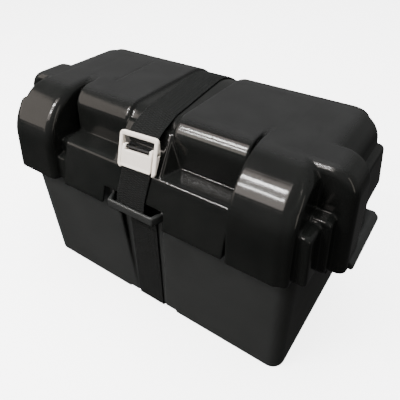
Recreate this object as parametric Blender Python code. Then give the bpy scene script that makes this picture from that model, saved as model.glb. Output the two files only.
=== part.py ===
"""Marine battery box with a strap and cam buckle, holding a deep cycle battery.

The box stands on z = 0 with its length along X and its strap buckle on the -Y side.
Lengths in the code are millimetres and are scaled to metres when a mesh is made.
"""
import math

import bmesh
import bpy
from mathutils import Matrix, Vector

for old in list(bpy.data.objects):
    bpy.data.objects.remove(old, do_unlink=True)

MM = 0.001
GAP = 0.3

# ---- box dimensions -------------------------------------------------------------------
TUB_A, TUB_B = 174.9, 90.8          # half length and half width of the tub at its foot
TUB_DRAFT_A, TUB_DRAFT_B = 0.034, 0.042
TUB_R = 15.0
TUB_TOP = 175.0
TUB_WALL = 3.0
TUB_FLOOR = 7.5

LID_FOOT, LID_TOP = 150.7, 255.0
LID_A, LID_B = 188.7, 112.0         # half length and half width at the skirt
LID_DRAFT = 0.046
LID_R = 16.0
LID_WALL = 3.0
SIDE_R = 64.2                       # large fillet along the front and back top edges
END_R = 30.0                        # fillet along the end top edges
BLOCK_R = 24.0                      # smaller fillet of the raised block in the front bay

BAY_X = 118.0                       # half length of the front bay above its ledge
SKIRT_X = 105.0                     # half length of the set-back skirt below the ledge
LEDGE_Y, LEDGE_Z = 95.5, 201.8
GROOVE_X, GROOVE_D = 30.0, 4.0      # strap groove over the lid
SLOT_X = (109.0, 117.0)             # deep slot at each end of the block
SLOT_RIGHT = 113.8                  # inner X of the narrower slot at the +X end
NOTCH_END = 179.2                   # X of the +X end wall outside the bulges
NOTCH_X, NOTCH_Z = 41.0, 170.0      # skirt notch round each strap guide

STRAP_W, STRAP_T = 38.0, 1.6

# ---- battery dimensions ---------------------------------------------------------------
BAT_X, BAT_Y = 153.0, 85.3          # half length and half width
BAT_Z0 = TUB_FLOOR + GAP
CASE_H, COVER_H = 158.0, 28.0
CELLS = 6
PLATES, PLATE_T = 5, 4.6            # plates of one cell and their thickness


# ---- materials ------------------------------------------------------------------------
def material(name, colour, roughness, metallic=0.0):
    """A plain Principled material."""
    mat = bpy.data.materials.new(name)
    mat.use_nodes = True
    bsdf = mat.node_tree.nodes["Principled BSDF"]
    bsdf.inputs["Base Color"].default_value = (*colour, 1.0)
    bsdf.inputs["Roughness"].default_value = roughness
    bsdf.inputs["Metallic"].default_value = metallic
    mat.diffuse_color = (*colour, 1.0)
    return mat


def add_object(name, bm, mat, origin=(0, 0, 0), smooth=None, cutter=False):
    """Turns a bmesh in millimetres into a scene object with its origin where asked."""
    mesh = bpy.data.meshes.new(name)
    shift = Vector(origin)
    for vert in bm.verts:
        vert.co = (vert.co - shift) * MM
    bmesh.ops.recalc_face_normals(bm, faces=bm.faces)
    bm.to_mesh(mesh)
    bm.free()
    if smooth is not None:
        mesh.shade_smooth()
        mesh.set_sharp_from_angle(angle=math.radians(smooth))
    ob = bpy.data.objects.new(name, mesh)
    bpy.context.scene.collection.objects.link(ob)
    ob.location = shift * MM
    if mat:
        mesh.materials.append(mat)
    if cutter:
        ob.hide_render = True
        ob.display_type = "WIRE"
    return ob


def loft(rings, bm=None):
    """A closed solid through rings of equal point count."""
    bm = bm or bmesh.new()
    rows = [[bm.verts.new(p) for p in ring] for ring in rings]
    n = len(rows[0])
    for low, high in zip(rows, rows[1:]):
        for i in range(n):
            bm.faces.new((low[i], low[(i + 1) % n], high[(i + 1) % n], high[i]))
    bm.faces.new(list(reversed(rows[0])))
    bm.faces.new(rows[-1])
    return bm


def rounded_rect(a, b, r, z, steps=5, cx=0.0, cy=0.0):
    """One ring of a rounded rectangle at height z."""
    r = max(0.2, min(r, a - 0.1, b - 0.1))
    ring = []
    for sx, sy, start in ((1, 1, 0), (-1, 1, 90), (-1, -1, 180), (1, -1, 270)):
        for i in range(steps + 1):
            t = math.radians(start + 90 * i / steps)
            x = cx + sx * (a - r) + r * math.cos(t)
            y = cy + sy * (b - r) + r * math.sin(t)
            ring.append((x, y, z))
    return ring


def prism(profile, axis, low, high, bm=None):
    """Extrudes a 2-D profile. Axis x takes (y, z) points and axis y takes (x, z) points."""
    if axis == "x":
        rings = [[(v, p[0], p[1]) for p in profile] for v in (low, high)]
    elif axis == "y":
        rings = [[(p[0], v, p[1]) for p in profile] for v in (low, high)]
    else:
        rings = [[(p[0], p[1], v) for p in profile] for v in (low, high)]
    return loft(rings, bm)


def box(x0, x1, y0, y1, z0, z1, bm=None):
    """A plain block between two corners."""
    profile = [(x0, y0), (x1, y0), (x1, y1), (x0, y1)]
    return prism(profile, "z", z0, z1, bm)


def round_post(r0, r1, z0, z1, x=0.0, y=0.0, n=24, bm=None):
    """An upright cylinder or cone."""
    rings = []
    for r, z in ((r0, z0), (r1, z1)):
        ring = []
        for i in range(n):
            t = 2 * math.pi * i / n
            ring.append((x + r * math.cos(t), y + r * math.sin(t), z))
        rings.append(ring)
    return loft(rings, bm)


def rod_x(x0, x1, y, z, r, n=16, bm=None):
    """A cylinder along X."""
    rings = []
    for x in (x0, x1):
        ring = []
        for i in range(n):
            t = 2 * math.pi * i / n
            ring.append((x, y + r * math.cos(t), z + r * math.sin(t)))
        rings.append(ring)
    return loft(rings, bm)


def arc(cx, cy, r, start, end, steps):
    """Points of an arc in degrees, both ends included."""
    points = []
    for i in range(steps + 1):
        t = math.radians(start + (end - start) * i / steps)
        points.append((cx + r * math.cos(t), cy + r * math.sin(t)))
    return points


def boolean(ob, cutter, operation="DIFFERENCE"):
    """Adds an exact boolean modifier."""
    mod = ob.modifiers.new(cutter.name, "BOOLEAN")
    mod.operation = operation
    mod.solver = "EXACT"
    mod.object = cutter
    return mod


def cutter(name, bm):
    return add_object(name, bm, None, cutter=True)


# ---- lid ------------------------------------------------------------------------------
SIDE_Z = LID_TOP - SIDE_R
FLAT_Y = LID_B - LID_DRAFT * (SIDE_Z - LID_FOOT) - SIDE_R
END_Z = LID_TOP - END_R
FLAT_X = LID_A - LID_DRAFT * (END_Z - LID_FOOT) - END_R


def lid_half_width(z, inset):
    if z <= SIDE_Z:
        return LID_B - LID_DRAFT * (z - LID_FOOT) - inset
    rise = min(z - SIDE_Z, SIDE_R - inset)
    return FLAT_Y + math.sqrt(max(0.0, (SIDE_R - inset) ** 2 - rise ** 2))


def lid_half_length(z, inset):
    if z <= END_Z:
        return LID_A - LID_DRAFT * (z - LID_FOOT) - inset
    rise = min(z - END_Z, END_R - inset)
    return FLAT_X + math.sqrt(max(0.0, (END_R - inset) ** 2 - rise ** 2))


def lid_shell(inset, foot):
    """The plain rounded envelope of the lid, moved inward by inset."""
    heights = [foot, SIDE_Z]
    top = LID_TOP - inset
    for i in range(1, 13):
        heights.append(SIDE_Z + (SIDE_R - inset) * math.sin(math.radians(90 * i / 13)))
    heights.append(top)
    rings = []
    for z in heights:
        a, b = lid_half_length(z, inset), lid_half_width(z, inset)
        rings.append(rounded_rect(a, b, LID_R - inset, z))
    return loft(rings)


def bay_profile(grow):
    """Outline in (y, z) of all that is taken away in front of the raised block."""
    r = BLOCK_R - grow
    pts = [(-FLAT_Y + 0.01, 320.0)]
    pts += arc(-FLAT_Y, LID_TOP - BLOCK_R, r, 90, 180, 6)
    back = FLAT_Y + BLOCK_R - grow
    pts += [(-back - 1.0, LEDGE_Z + 2.4 - grow)]
    pts += [(-LEDGE_Y, LEDGE_Z - grow), (-200.0, LEDGE_Z - 9.5 - grow), (-200.0, 320.0)]
    return pts


def skirt_profile(grow):
    """Outline of what is taken away in front of the set-back skirt."""
    y0, y1 = LEDGE_Y - grow, 110.0 - grow
    slope = (y1 - y0) / (LEDGE_Z - LID_FOOT)
    foot = 130.0
    return [(-y0, LEDGE_Z + 0.6), (-y0 - slope * (LEDGE_Z - foot), foot),
            (-210.0, foot), (-210.0, LEDGE_Z + 0.6)]


def slot_profile(grow):
    """Outline of the slot that separates the block from the corner bulge."""
    pts = [(-26.0, 330.0)] + arc(-26.0, 228.5, 26.3 - grow, 90, 180, 7)
    return pts + [(-52.3 + grow, 198.0 - grow), (-140.0, 198.0 - grow), (-140.0, 330.0)]


def gutter_profile(grow):
    """Outline of the gutter that runs down from the slot beside the set-back skirt."""
    return [(-91.0 + grow, 203.5), (-92.5 + grow, 182.0 - grow), (-101.9 + grow, 179.0 - grow),
            (-103.5 + grow, 120.0), (-140.0, 120.0), (-140.0, 203.5)]


def groove_profile(grow):
    """Outline above the strap bed over the top and down the back."""
    d = GROOVE_D + grow
    front = arc(-FLAT_Y, LID_TOP - BLOCK_R, BLOCK_R - d, 180, 90, 6)
    back = arc(FLAT_Y, SIDE_Z, SIDE_R - d, 90, 0, 10)
    side = LID_B - d
    pts = [(-FLAT_Y - BLOCK_R + d, 222.0)] + front + back + [(side + 1.0, 130.0)]
    return pts + [(210.0, 130.0), (210.0, 330.0), (-210.0, 330.0), (-210.0, 222.0)]


# End bulges: end, (y0, y1), foot, outer X at the foot, outer X at the shoulder, shoulder
# radius, top
BULGES = {
    "right_front": (1, (-60.0, -17.0), 143.0, 214.2, 212.4, 27.0, 254.7),
    "right_crown": (1, (-19.0, 60.0), 200.0, 197.6, 197.4, 29.0, 254.85),
    "right_middle": (1, (-19.0, 18.0), LID_FOOT, 209.6, 205.2, 6.0, 222.5),
    "right_back": (1, (16.0, 60.0), 177.0, 208.1, 205.2, 6.0, 222.5),
    "left_front": (-1, (-60.0, -14.0), LID_FOOT, 208.4, 205.2, 27.0, 254.7),
    "left_back": (-1, (-16.0, 60.0), LID_FOOT, 208.4, 203.0, 43.0, 254.85),
}


def bulge(kind, inset):
    """One of the bulges at a lid end, or its hollow when inset is the wall thickness."""
    sign, (y0, y1), foot, out_foot, out_top, r, top = BULGES[kind]
    y0, y1, top, r = y0 + inset, y1 - inset, top - inset, r - inset
    out_foot, out_top = out_foot - inset, out_top - inset
    if inset:
        foot = foot + inset if kind == "right_back" else min(foot, 130.0)
    pts = [(140.0, foot), (out_foot, foot)]
    pts += arc(out_top - r, top - r, r, 0, 90, 8)
    pts += [(140.0, top)]
    pts = [(sign * x, z) for x, z in pts]
    return prism(pts, "y", y0, y1)


def end_slot_outline(sx, sy, grow):
    """Plan outline of what is taken away beside the bulges of one end."""
    if sx < 0:
        near, far, wall = 59.5 - grow, 87.0 + grow, 174.0 - grow
        return [(-wall, sy * near), (-260.0, sy * near), (-260.0, sy * far), (-wall, sy * far)]
    wall, near, r = NOTCH_END - grow, 59.5 - grow, LID_R - grow
    centre_x, centre_y = NOTCH_END - LID_R, LID_B - LID_R
    corner = [(x, sy * y) for x, y in arc(centre_x, centre_y, r, 0, 90, 5)]
    return [(260.0, sy * near), (wall, sy * near)] + corner + [(centre_x, sy * 150.0),
                                                               (260.0, sy * 150.0)]


# (y0, y1, outer X, top) of the middle and the low rib at each end
END_RIBS = {
    (-1, "mid"): (59.0, 72.0, 198.0, 207.0), (-1, "low"): (58.0, 87.6, 189.5, 190.0),
    (1, "mid"): (59.0, 73.5, 200.5, 209.0), (1, "low"): (58.0, 97.5, 190.5, 204.0),
}


def end_rib(kind, sx, sy, inset):
    """A stepped rib that fills the lower part of an end groove. Inset gives its hollow."""
    ya, yb, reach, top = END_RIBS[sx, kind]
    reach, top = reach - inset, top - inset
    if kind == "mid":
        ya, yb = ya + inset, yb - inset
    else:
        ya, yb = ya - inset, yb + (inset if sx < 0 else -inset)
    foot = 140.0 if inset else LID_FOOT
    r = 6.0 - inset * 0.8
    pts = [(165.0, foot), (reach, foot)]
    pts += arc(reach - r - 1.5, top - r, r, 0, 90, 4) + [(165.0, top)]
    pts = [(sx * x, z) for x, z in pts]
    y0, y1 = sorted((sy * ya, sy * yb))
    return prism(pts, "y", y0, y1)


def wedge(inset):
    """The wedge under the buckle: its two side faces spread toward the foot and the wall."""
    profile = [(-60.0, 239.6), (-68.6, 239.6), (-93.6, 202.2), (-93.6, 199.5), (-60.0, 199.5)]
    moved = [(0.0, -1.0), (1.0, -1.0), (1.0, 0.0), (1.0, -1.0), (0.0, -1.0)]
    rings = []
    for sign in (-1, 1):
        ring = []
        for (y, z), (step_y, step_z) in zip(profile, moved):
            half = 29.0 + 0.4395 * (y + 68.6) - 0.3606 * (z - 239.6)
            ring.append((sign * (half - inset), y + step_y * inset, z + step_z * inset))
        rings.append(ring)
    return loft(rings)


def make_lid(mat):
    lid = add_object("lid", lid_shell(0.0, LID_FOOT), mat)
    inner = cutter("lid_inner", lid_shell(LID_WALL, 140.0))
    for part, grow in ((lid, 0.0), (inner, LID_WALL)):
        tag = "a" if grow == 0.0 else "b"
        for sx in (-1, 1):
            for sy in (-1, 1):
                slot = prism(end_slot_outline(sx, sy, grow), "z", 120.0, 320.0)
                boolean(part, cutter("end_slot_%s_%d_%d" % (tag, sx, sy), slot))
        for kind in BULGES:
            body = cutter("bulge_%s_%s" % (tag, kind), bulge(kind, grow))
            boolean(part, body, "UNION")
        for sx in (-1, 1):
            for sy in (-1, 1):
                for kind in ("mid", "low"):
                    rib = cutter("rib_%s_%s_%d_%d" % (tag, kind, sx, sy),
                                 end_rib(kind, sx, sy, grow))
                    boolean(part, rib, "UNION")
        wide, low = BAY_X + grow, SKIRT_X + grow
        bay = cutter("bay_" + tag, prism(bay_profile(grow), "x", -wide, wide))
        boolean(part, bay)
        skirt = cutter("skirt_" + tag, prism(skirt_profile(grow), "x", -low, low))
        boolean(part, skirt)
        for sx in (-1, 1):
            inner_x = SLOT_X[0] if sx < 0 else SLOT_RIGHT
            x0, x1 = sorted((sx * (inner_x - grow), sx * (SLOT_X[1] + grow)))
            slot = prism(slot_profile(grow), "x", x0, x1)
            boolean(part, cutter("bay_slot_%s_%d" % (tag, sx), slot))
            x0, x1 = sorted((sx * (SKIRT_X - 0.5 - grow), sx * (SLOT_X[1] - 0.1 + grow)))
            gutter = prism(gutter_profile(grow), "x", x0, x1)
            boolean(part, cutter("gutter_%s_%d" % (tag, sx), gutter))
        groove_x = GROOVE_X + grow
        groove = prism(groove_profile(grow), "x", -groove_x, groove_x)
        boolean(part, cutter("groove_" + tag, groove))
        boolean(part, cutter("wedge_" + tag, wedge(grow)), "UNION")
    boolean(lid, inner)
    for sy in (-1, 1):
        y0, y1 = sorted((sy * 89.0, sy * 140.0))
        notch = box(-NOTCH_X, NOTCH_X, y0, y1, 120.0, NOTCH_Z)
        boolean(lid, cutter("notch_%d" % sy, notch))
    for sx in (-1, 1):
        x0, x1 = sorted((sx * 182.0, sx * 230.0))
        over_lug = box(x0, x1, -45.5, -10.0, 120.0, LID_FOOT)
        boolean(lid, cutter("over_lug_%d" % sx, over_lug))
        for sy in (-1, 1):
            y0, y1 = sorted((sy * 94.0, sy * 108.8))
            x0, x1 = sorted((sx * 150.0, sx * 154.0))
            rest = box(x0, x1, y0, y1, TUB_TOP + GAP, 186.0)
            boolean(lid, cutter("rest_%d_%d" % (sx, sy), rest), "UNION")
    return lid


# ---- tub ------------------------------------------------------------------------------
def tub_ring(z, inset, foot_r=0.0):
    a = TUB_A + TUB_DRAFT_A * z - inset - foot_r
    b = TUB_B + TUB_DRAFT_B * z - inset - foot_r
    return rounded_rect(a, b, TUB_R - inset, z)


def guide_profile(inset):
    """Plan outline (x, y) of one strap guide loop on the -Y wall."""
    if inset:
        return [(-33.5, -90.0), (-27.5, -108.3), (27.5, -108.3), (33.5, -90.0)]
    return [(-37.5, -96.0), (-31.0, -111.6), (31.0, -111.6), (37.5, -96.0)]


def make_tub(mat):
    tub = add_object("tub", loft([tub_ring(0, 0, 1.5), tub_ring(1.5, 0), tub_ring(TUB_TOP, 0)]),
                     mat)
    for sy in (-1, 1):
        outer = [(x, sy * -y) for x, y in guide_profile(0)]
        loop = prism(outer, "z", 151.0, 162.0)
        boolean(tub, cutter("guide_%d" % sy, loop), "UNION")
    for sx in (-1, 1):
        lug = [(170.0, 138.4), (210.0, 138.4), (211.6, 137.2), (216.0, 137.2), (217.8, 140.0),
               (217.4, 144.5), (212.6, 149.6), (170.0, 149.6)]
        lug = [(sx * x, z) for x, z in lug]
        boolean(tub, cutter("lug_%d" % sx, prism(lug, "y", -43.0, 43.0)), "UNION")
    cavity = loft([tub_ring(TUB_FLOOR, TUB_WALL + 0.3), tub_ring(TUB_TOP + 20, TUB_WALL + 0.3)])
    boolean(tub, cutter("tub_cavity", cavity))
    for sy in (-1, 1):
        high, low = 34.0, 20.5
        plan = [(high, 190.0), (low, -10.0), (-low, -10.0), (-high, 190.0)]
        rings = [[(x, sy * y, z) for x, z in plan] for y in (90.05, 99.7)]
        boolean(tub, cutter("channel_%d" % sy, loft(rings)))
        inner = [(x, sy * -y) for x, y in guide_profile(1)]
        boolean(tub, cutter("guide_eye_%d" % sy, prism(inner, "z", 130.0, 190.0)))
        lining = [(38.5, TUB_TOP), (25.0, 4.0), (-25.0, 4.0), (-38.5, TUB_TOP)]
        rings = [[(x, sy * y, z) for x, z in lining] for y in (87.0, 90.05)]
        boolean(tub, cutter("lining_%d" % sy, loft(rings)), "UNION")
    bed = box(-36.5, 36.5, -140.0, 140.0, -5.0, 4.5)
    boolean(tub, cutter("strap_bed", bed))
    for sx in (-1, 1):
        hand = box(*sorted((sx * 192.0, sx * 208.0)), -36.0, 36.0, 120.0, 146.6)
        boolean(tub, cutter("hand_%d" % sx, hand))
    return tub


# ---- straps ---------------------------------------------------------------------------
def ribbon(path, width, thick):
    """A flat band through (x, y, z) centre points, its width along X."""
    rings = []
    count = len(path)
    for i, point in enumerate(path):
        before = path[max(0, i - 1)]
        after = path[min(count - 1, i + 1)]
        dy, dz = after[1] - before[1], after[2] - before[2]
        size = math.hypot(dy, dz)
        ny, nz = -dz / size * thick / 2, dy / size * thick / 2
        x, y, z = point
        ring = [(x - width / 2, y + ny, z + nz), (x + width / 2, y + ny, z + nz),
                (x + width / 2, y - ny, z - nz), (x - width / 2, y - ny, z - nz)]
        rings.append(ring)
    return loft(rings)


def skew(y):
    """Sideways run of the strap over the lid: it leans to -X toward the back."""
    return max(-8.0, min(3.5, -2.4 - 0.13 * y))


def strap_top_path():
    lift = STRAP_T / 2 + GAP
    r_front = BLOCK_R - GROOVE_D + lift
    r_back = SIDE_R - GROOVE_D + lift
    pts = [(-82.9, 227.0), (-83.4, 232.0), (-81.0, 238.0), (-73.0, 243.2)]
    pts += arc(-FLAT_Y, LID_TOP - BLOCK_R, r_front, 115, 90, 3)
    pts += [(0.0, LID_TOP - GROOVE_D + lift)]
    pts += arc(FLAT_Y, SIDE_Z, r_back, 90, 0, 9)
    pts += [(109.4, 172.0), (106.4, 160.0)]
    return [(skew(y), y, z) for y, z in pts]


def strap_front_path():
    pts = [(3.0, -82.2, 224.4), (3.0, -96.6, 202.5), (2.6, -97.3, 200.3), (0.6, -101.2, 186.3),
           (-1.4, -105.2, 172.3), (-2.0, -106.9, 160.0)]
    return pts


def strap_under_path():
    side = [(106.2, 156.5), (104.0, 151.0), (92.6, 138.0), (91.5, 128.0), (91.4, 8.0)]
    foot = [(91.3, 4.8), (90.4, 3.0), (88.4, 2.3), (0.0, 2.3)]
    pts = [(-y, z) for y, z in side + foot]
    back = [(y, z) for y, z in reversed(side + foot[:-1])]
    return [(0.0 if abs(y) < 100 else -2.0 * (y > 0) + 1.0, y, z) for y, z in pts + back]


# ---- buckle ---------------------------------------------------------------------------
BUCKLE_TOP = Vector((0.0, -86.6, 240.2))
BUCKLE_FOOT = Vector((0.0, -99.6, 202.2))
DOWN = (BUCKLE_FOOT - BUCKLE_TOP).normalized()
OUT = Vector((0.0, DOWN.z, -DOWN.y))
BUCKLE_LEN = (BUCKLE_FOOT - BUCKLE_TOP).length


def buckle_matrix():
    """Local x is across, local y runs down the buckle, local z points out of its face."""
    side = Vector((1.0, 0.0, 0.0))
    rot = Matrix((side, DOWN, OUT)).transposed().to_4x4()
    lean = Matrix.Rotation(math.radians(-3.0), 4, "Z")
    return Matrix.Translation(BUCKLE_TOP + Vector((1.4, 0.0, 0.0))) @ rot @ lean


def place(bm, matrix):
    bmesh.ops.transform(bm, matrix=matrix, verts=bm.verts)
    return bm


def make_buckle(mat, pin_mat):
    place_at = buckle_matrix()
    plan = rounded_rect(25.2, BUCKLE_LEN / 2, 5.0, 0.0, 4, 0.0, BUCKLE_LEN / 2)
    side = [(-2.0, 0.0), (50.0, 0.0), (50.0, -3.4), (34.0, -3.4), (21.0, -6.2), (12.0, -6.2),
            (5.0, -3.8), (-2.0, -3.8)]
    frame = add_object("buckle_frame", place(prism(side, "x", -40.0, 40.0), place_at), mat)
    outline = loft([[(x, y, z) for x, y, _ in plan] for z in (-20.0, 20.0)])
    boolean(frame, cutter("buckle_outline", place(outline, place_at)), "INTERSECT")
    window = box(-20.2, 20.2, 5.2, 60.0, -20.0, 20.0)
    boolean(frame, cutter("buckle_window", place(window, place_at)))
    pin_y, pin_z = 16.5, -3.2
    bore = rod_x(-23.4, 23.4, pin_y, pin_z, 1.9)
    boolean(frame, cutter("buckle_bore", place(bore, place_at)))
    pin = rod_x(-23.0, 23.0, pin_y, pin_z, 1.5)
    origin = place_at @ Vector((0.0, pin_y, pin_z))
    add_object("buckle_pin", place(pin, place_at), pin_mat, tuple(origin), smooth=40)
    body = [(13.2, -4.4), (15.0, -6.0), (18.2, -6.1), (20.6, -3.2), (34.5, -1.7),
            (37.5, 0.6), (37.0, 1.6), (34.0, 0.9), (20.0, 0.9), (14.2, -0.2)]
    lever = prism([(y, z) for y, z in body], "x", -19.8, 19.8)
    lever = place(lever, place_at)
    lever = add_object("buckle_lever", lever, mat, tuple(origin))
    eye = rod_x(-30.0, 30.0, pin_y, pin_z, 1.9)
    boolean(lever, cutter("lever_bore", place(eye, place_at)))
    return frame


# ---- battery --------------------------------------------------------------------------
def make_battery(case_mat, cover_mat, plate_mat, lead_mat, steel_mat, caps_mat, marks):
    z0, z1 = BAT_Z0, BAT_Z0 + CASE_H
    rings = [rounded_rect(BAT_X - 1.5, BAT_Y - 1.2, 4.0, z0, 3),
             rounded_rect(BAT_X, BAT_Y, 4.0, z0 + 2.0, 3),
             rounded_rect(BAT_X, BAT_Y, 4.0, z1, 3)]
    case = add_object("battery_case", loft(rings), case_mat)
    pitch = 2 * (BAT_X - 3.0) / CELLS
    packs = []
    for i in range(CELLS):
        x0 = -BAT_X + 3.0 + pitch * i + 0.75
        x1 = x0 + pitch - 1.5
        room = box(x0, x1, -BAT_Y + 3.0, BAT_Y - 3.0, z0 + 3.5, z1 + 5.0)
        boolean(case, cutter("cell_room_%d" % i, room))
        packs.append((x0, x1))
    for i, (x0, x1) in enumerate(packs):
        low, high = x0 + 0.8, x1 - 0.8
        bus = box(low, high, -71.0, 66.0, z0 + 131.0, z0 + 138.0)
        pack = add_object("plate_pack_%d" % (i + 1), bus, plate_mat)
        for k in range(PLATES):
            x = low + (high - low - PLATE_T) * k / (PLATES - 1)
            if k == 0:
                x += 0.1
            elif k == PLATES - 1:
                x -= 0.1
            plate = box(x, x + PLATE_T, -BAT_Y + 4.5, BAT_Y - 4.5, z0 + 3.8, z0 + 133.0)
            boolean(pack, cutter("plate_%d_%d" % (i, k), plate), "UNION")
    for i in range(CELLS - 1):
        mid = (packs[i][1] + packs[i + 1][0]) / 2
        sy = 1 if i % 2 else -1
        y0, y1 = sorted((sy * 42.0, sy * 62.0))
        zb, zt = z0 + 138.3, z1 + 6.0
        bridge = box(mid - 14.0, mid + 14.0, y0, y1, zb, zt)
        link = add_object("cell_link_%d" % (i + 1), bridge, lead_mat)
        gap_box = box(mid - 1.15, mid + 1.15, y0 - 5, y1 + 5, zb - 5, z1 + 0.4)
        boolean(link, cutter("link_gap_%d" % i, gap_box))
    c0, c1 = z1 + GAP, z1 + GAP + COVER_H
    rings = [rounded_rect(BAT_X, BAT_Y, 4.0, c0, 3), rounded_rect(BAT_X, BAT_Y, 4.0, c1 - 2, 3),
             rounded_rect(BAT_X - 1.6, BAT_Y - 1.6, 3.0, c1, 3)]
    cover = add_object("battery_cover", loft(rings), cover_mat)
    hollow = box(-BAT_X + 3, BAT_X - 3, -BAT_Y + 3, BAT_Y - 3, c0 - 5, c0 + 8.0)
    boolean(cover, cutter("cover_hollow", hollow))
    for sx in (-1, 1):
        well = box(*sorted((sx * 122.0, sx * 160.0)), -95.0, -21.0, c1 - 17.0, c1 + 9.0)
        boolean(cover, cutter("cover_well_%d" % sx, well))
    cap_y = 14.0
    for i, (x0, x1) in enumerate(packs):
        x = (x0 + x1) / 2
        hole = round_post(8.6, 8.6, c0 - 2, c1 + 5, x, cap_y)
        boolean(cover, cutter("cap_hole_%d" % i, hole))
        cap = round_post(11.5, 11.0, c1 + GAP, c1 + 5.5, x, cap_y)
        cap = add_object("vent_cap_%d" % (i + 1), cap, caps_mat, (x, cap_y, c1), smooth=40)
        stem = cutter("cap_stem_%d" % i, round_post(8.1, 7.6, c0 + 6, c1 + 2, x, cap_y))
        boolean(cap, stem, "UNION")
        bar = cutter("cap_bar_%d" % i, box(x - 8.5, x + 8.5, cap_y - 1.6, cap_y + 1.6,
                                          c1 + 4, c1 + 8.0))
        boolean(cap, bar, "UNION")
    pad = c1 - 17.0
    for sx, sign in ((-1, "negative"), (1, "positive")):
        post_x, post_y, stud_y = sx * 140.0, -64.0, -38.0
        hole = round_post(6.3, 6.3, c0 - 3, pad + 5, post_x, post_y)
        boolean(cover, cutter("post_hole_" + sign, hole))
        post = box(*sorted((sx * 130.5, sx * 149.5)), -74.0, -29.0, pad + GAP, pad + 5.0)
        post = add_object("terminal_" + sign, post, lead_mat, smooth=40)
        cone = cutter("post_" + sign, round_post(9.4, 8.6, pad + 2, pad + 22, post_x, post_y))
        boolean(post, cone, "UNION")
        root = round_post(5.8, 5.8, z0 + 138.3, pad + 3, post_x, post_y)
        boolean(post, cutter("post_root_" + sign, root), "UNION")
        ring = marks[sign]
        sleeve = round_post(11.2, 11.2, pad + 5.3, pad + 8.3, post_x, post_y)
        sleeve = add_object("polarity_ring_" + sign, sleeve, ring, smooth=40)
        boolean(sleeve, cutter("ring_bore_" + sign,
                               round_post(9.8, 9.8, pad - 5, pad + 15, post_x, post_y)))
        stud = round_post(4.0, 4.0, pad + 5.3, pad + 22.0, post_x, stud_y)
        stud = add_object("terminal_stud_" + sign, stud, steel_mat,
                          (post_x, stud_y, pad + 5.3), smooth=40)
        head = round_post(6.6, 6.6, pad + 5.3, pad + 8.0, post_x, stud_y, 6)
        boolean(stud, cutter("stud_head_" + sign, head), "UNION")
        nut = round_post(7.0, 5.6, pad + 8.3, pad + 15.0, post_x, stud_y)
        nut = add_object("wing_nut_" + sign, nut, steel_mat, (post_x, stud_y, pad + 8.3),
                         smooth=40)
        wing = [(-12.5, pad + 13.0), (-11.0, pad + 20.0), (-7.5, pad + 20.0), (-4.5, pad + 11.0),
                (4.5, pad + 11.0), (7.5, pad + 20.0), (11.0, pad + 20.0), (12.5, pad + 13.0),
                (5.0, pad + 9.0), (-5.0, pad + 9.0)]
        wing = [(post_x + wx, wz) for wx, wz in wing]
        blade = cutter("nut_wings_" + sign, prism(wing, "y", stud_y - 1.4, stud_y + 1.4))
        boolean(nut, blade, "UNION")
        thread = round_post(4.3, 4.3, pad, pad + 30, post_x, stud_y)
        boolean(nut, cutter("nut_bore_" + sign, thread))
    make_handle(caps_mat, case, case_mat, z1)
    return case


def make_handle(mat, case, case_mat, z1):
    """The carrying bail of the battery: two arms on end pivots and a bar across."""
    pivot_z, reach = z1 - 9.0, 58.0
    for sx in (-1, 1):
        boss = rod_x(*sorted((sx * (BAT_X - 1.0), sx * (BAT_X + 3.2))), 0.0, pivot_z, 5.0)
        boolean(case, cutter("bail_boss_%d" % sx, boss), "UNION")
        horn = rod_x(*sorted((sx * (BAT_X + 1.0), sx * (BAT_X + 9.0))), 0.0, pivot_z, 3.0)
        boolean(case, cutter("bail_horn_%d" % sx, horn), "UNION")
    top_z = z1 + GAP + COVER_H + 7.0
    rise = top_z - pivot_z
    run = math.sqrt(reach ** 2 - rise ** 2)
    along = Vector((0.0, run, rise)).normalized()
    across = Vector((0.0, -along.z, along.y))
    x_in, x_out = BAT_X + 3.6, BAT_X + 8.4

    def arm(sx):
        ring = []
        start = Vector((0.0, 0.0, pivot_z)) - along * 6.5
        end = Vector((0.0, 0.0, pivot_z)) + along * (reach + 5.0)
        for base, side in ((start, -1), (end, -1), (end, 1), (start, 1)):
            ring.append(base + across * 6.0 * side)
        rings = [[(x, p.y, p.z) for p in ring] for x in sorted((sx * x_in, sx * x_out))]
        return loft(rings)

    bail = add_object("battery_handle", arm(-1), mat, (0.0, 0.0, pivot_z))
    boolean(bail, cutter("bail_arm", arm(1)), "UNION")
    grip = rod_x(-x_out + 1.0, x_out - 1.0, run, top_z, 4.8)
    boolean(bail, cutter("bail_grip", grip), "UNION")
    bore = rod_x(-170.0, 170.0, 0.0, pivot_z, 3.4)
    boolean(bail, cutter("bail_bore", bore))
    return bail


# ---- build ----------------------------------------------------------------------------
tub_black = material("tub_black", (0.035, 0.037, 0.036), 0.5)
lid_black = material("lid_black", (0.022, 0.021, 0.020), 0.18)
webbing = material("webbing", (0.020, 0.022, 0.021), 0.85)
cream = material("buckle_cream", (0.86, 0.80, 0.72), 0.45)
steel = material("steel", (0.60, 0.60, 0.58), 0.30, 1.0)
case_black = material("case_black", (0.030, 0.030, 0.032), 0.45)
cover_grey = material("cover_grey", (0.16, 0.17, 0.18), 0.45)
cap_black = material("cap_black", (0.05, 0.05, 0.05), 0.5)
plates = material("plate_grey", (0.20, 0.20, 0.21), 0.7)
lead = material("lead", (0.33, 0.33, 0.35), 0.5, 0.8)
ring_red = material("ring_red", (0.60, 0.04, 0.03), 0.5)
ring_black = material("ring_black", (0.02, 0.02, 0.02), 0.5)

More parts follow.
